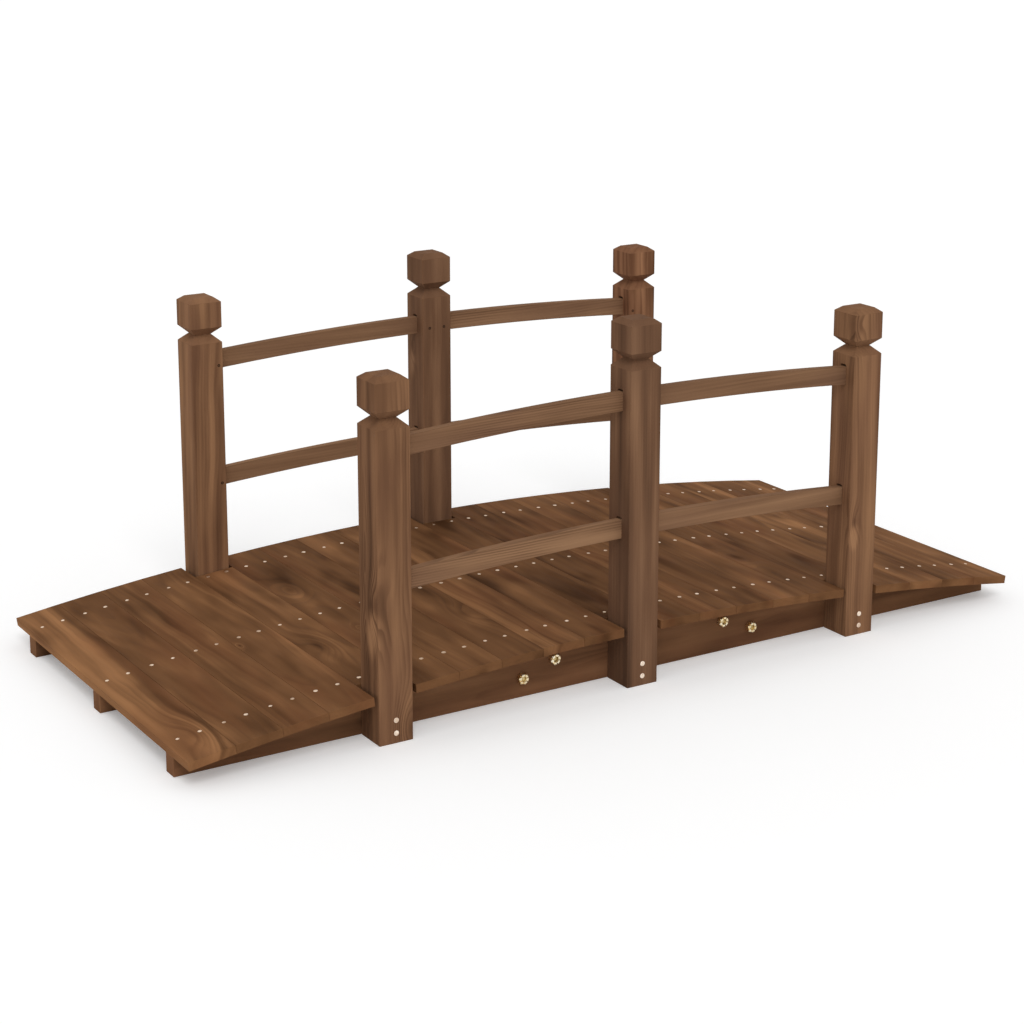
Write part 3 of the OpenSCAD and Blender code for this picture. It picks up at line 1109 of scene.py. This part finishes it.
# %% Deck nails
NAIL_HEAD = ((3.3, -0.8), (3.4, 0.1), (3.2, 0.3), (2.3, 0.44), (1.1, 0.5), (0.4, 0.51))
NAIL_ROWS = {"front_row_nails": -0.261, "middle_row_nails": -0.001, "rear_row_nails": 0.270}
NAIL_SPACING = 0.0342
NAIL_MISS = 0.0007
NAIL_SIZES = (0.78, 0.98)
FACES_UP = 0.9


def top_of(board):
    """The middle of a board's top face, and the direction out of it."""
    tops = [face for face in nodes[board].data.polygons if face.normal.z > FACES_UP]
    middle = sum((face.center for face in tops), Vector()) / len(tops)
    return middle, tops[0].normal.copy()


for row, row_y in NAIL_ROWS.items():
    places = []
    for board in boards:
        middle, out = top_of(board)
        along = Vector((0, 1, 0)).cross(out)
        for side in (-0.5, 0.5):
            miss = Vector((0, within(NAIL_MISS), 0))
            place = middle + along * (side * NAIL_SPACING + within(NAIL_MISS)) + miss
            place.y += row_y
            places.append(facing(place, out) @ Matrix.Scale(chance.uniform(*NAIL_SIZES), 4))
    joined(row, turned(NAIL_HEAD), places, metals["nail_zinc"])

# %% [markdown]
# ## Screws in the posts
# Two screws hold the foot of each post to its stringer, with pale countersunk heads. The recess for the
# driver could be cut out with a Boolean modifier. Two cross-shaped rings at the end of the stack, one
# deeper than the other, make it without leaving stray faces.

# %% Foot screws
FOOT_SCREW = (
    (3.9, -0.6), (4.0, 0.15), (3.8, 0.4), (3.0, 0.5),
    (cross(3.0, 0.9), 0.5), (cross(2.6, 0.6), 0.2),
)
FOOT_SCREW_HEIGHTS = (0.015, 0.0347)
SCREW_SIDES = 48
SCREW_SPIN = 1.5
foot_places = []
for post in POSTS:
    low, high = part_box(post)
    outward = -1 if "front" in post else 1
    outer_y = low.y if outward < 0 else high.y
    for height in FOOT_SCREW_HEIGHTS:
        place = (centre_of(post).x, outer_y, height)
        foot_places.append(facing(place, (0, outward, 0), chance.uniform(0, SCREW_SPIN)))
joined("post_foot_screws", turned(FOOT_SCREW, SCREW_SIDES), foot_places, metals["screw_zinc"])

# %% [markdown]
# From the inner side of the railing one small screw goes through the post into each rail end. Its head
# is coloured near black, as painted shade of the hole it sits in. The posts hide most of them. They are
# placed from the boxes of the rails, so that they would follow if a rail moved: a rail ends high at the
# middle post and low at the others.

# %% Rail screws
RAIL_SCREW = (
    (2.3, -0.6), (2.4, 0.1), (2.25, 0.3),
    (cross(3.0, 0.9), 0.3), (cross(2.6, 0.6), -0.5),
)
RAIL_SCREW_DROP = 0.003
HALF_RAIL = 0.0145
MIDDLE_POST_ZONE = 0.1
MIDDLE_INSET = 0.0065
END_INSET = 0.0125
rail_places = []
for rail in rails:
    low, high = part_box(rail)
    inward = 1 if "front" in rail else -1
    post_side = rail.split("_")[0]
    inner_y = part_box(post_side + "_middle_post")[1 if inward > 0 else 0].y
    for end_x in (low.x, high.x):
        at_middle_post = abs(end_x) < MIDDLE_POST_ZONE
        inset = MIDDLE_INSET if at_middle_post else END_INSET
        toward_bay = 1 if end_x == low.x else -1
        level = (high.z - HALF_RAIL) if at_middle_post else (low.z + HALF_RAIL)
        place = (end_x + toward_bay * inset, inner_y, level - RAIL_SCREW_DROP)
        rail_places.append(facing(place, (0, inward, 0), chance.uniform(0, SCREW_SPIN)))
# near-black heads: painted shade of the screw holes
joined("rail_screws", turned(RAIL_SCREW, SCREW_SIDES), rail_places, metals["screw_painted_hole_shade"])

# %% [markdown]
# ## Bolts through the splices
# Four bolts clamp each splice plate to its stringer. On the outer side each ends in a tall hexagon nut
# with six notches in its rim and the bolt end a little way down its hole. On the other side sits a flat
# hexagon head with a shallow dish. Nut and bolt end could be one stack of rings, but the bolt end gets a
# darker colour, partly duller steel and partly painted shade for the hole of the nut, so it is a
# piece of its own.

# %% Splice bolts
NUT_SIDE = ((8.0, -0.4), (8.0, 0.1), (hexagon(16.0), 0.7), (hexagon(16.0), crown(6.8, 4.8)))
NUT_RIM = ((7.5, crown(8.0, 5.0)), (4.8, crown(8.0, 5.0)), (4.2, crown(7.4, 4.8)))
NUT_HOLE = ((4.1, 2.0),)
BOLT_END = ((4.05, 1.8), (4.05, 3.7), (3.5, 4.3), (2.6, 4.5), (2.0, 4.4))
HEAD_SIDE = ((8.0, -0.4), (8.0, 0.1), (hexagon(16.0), 0.5), (hexagon(16.0), 5.6))
HEAD_TOP = ((7.6, 6.4), (6.4, 6.4), (6.0, 6.1), (3.0, 6.0))
BOLT_SPREAD = ((0.1585, 0.0511), (0.2155, 0.0308))
BOLT_SPIN = 1
OUTER_SIDES = {"front": -1, "middle": -1, "rear": 1}


def bolt_places(face_y, direction):
    """Where the bolts of one splice come out of a face."""
    joint_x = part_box("front_right_stringer")[0].x
    places = []
    for side in (-1, 1):
        for reach, height in BOLT_SPREAD:
            place = (joint_x + side * reach, face_y, height)
            places.append(facing(place, (0, direction, 0), chance.uniform(0, BOLT_SPIN)))
    return places


nut_places = []
head_places = []
for bay, outward in OUTER_SIDES.items():
    stringer_low, stringer_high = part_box(bay + "_left_stringer")
    plate_low, plate_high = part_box(bay + "_splice_plate")
    nut_places += bolt_places(stringer_low.y if outward < 0 else stringer_high.y, outward)
    head_places += bolt_places(plate_high.y if outward < 0 else plate_low.y, -outward)
joined("splice_nuts", turned(NUT_SIDE + NUT_RIM + NUT_HOLE, SCREW_SIDES), nut_places, metals["bolt_zinc"])
# the darker bolt ends are partly painted shade inside each nut's hole
joined("splice_bolt_ends", turned(BOLT_END, SCREW_SIDES), nut_places, metals["bolt_steel_painted_shade"])
joined("splice_bolt_heads", turned(HEAD_SIDE + HEAD_TOP, SCREW_SIDES), head_places, metals["bolt_zinc"])

# %% [markdown]
# ## The size, kept
# The looks must not change the bridge. The box of the dressed bridge is measured again, and how much it
# has grown past the box of the solids is printed.

# %% Size and finish
dressed_low, dressed_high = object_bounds()
grown = (dressed_high - dressed_low) - (cad_high - cad_low)
print("grown by:", [round(v * MILLIMETRES, 2) for v in grown], "mm")
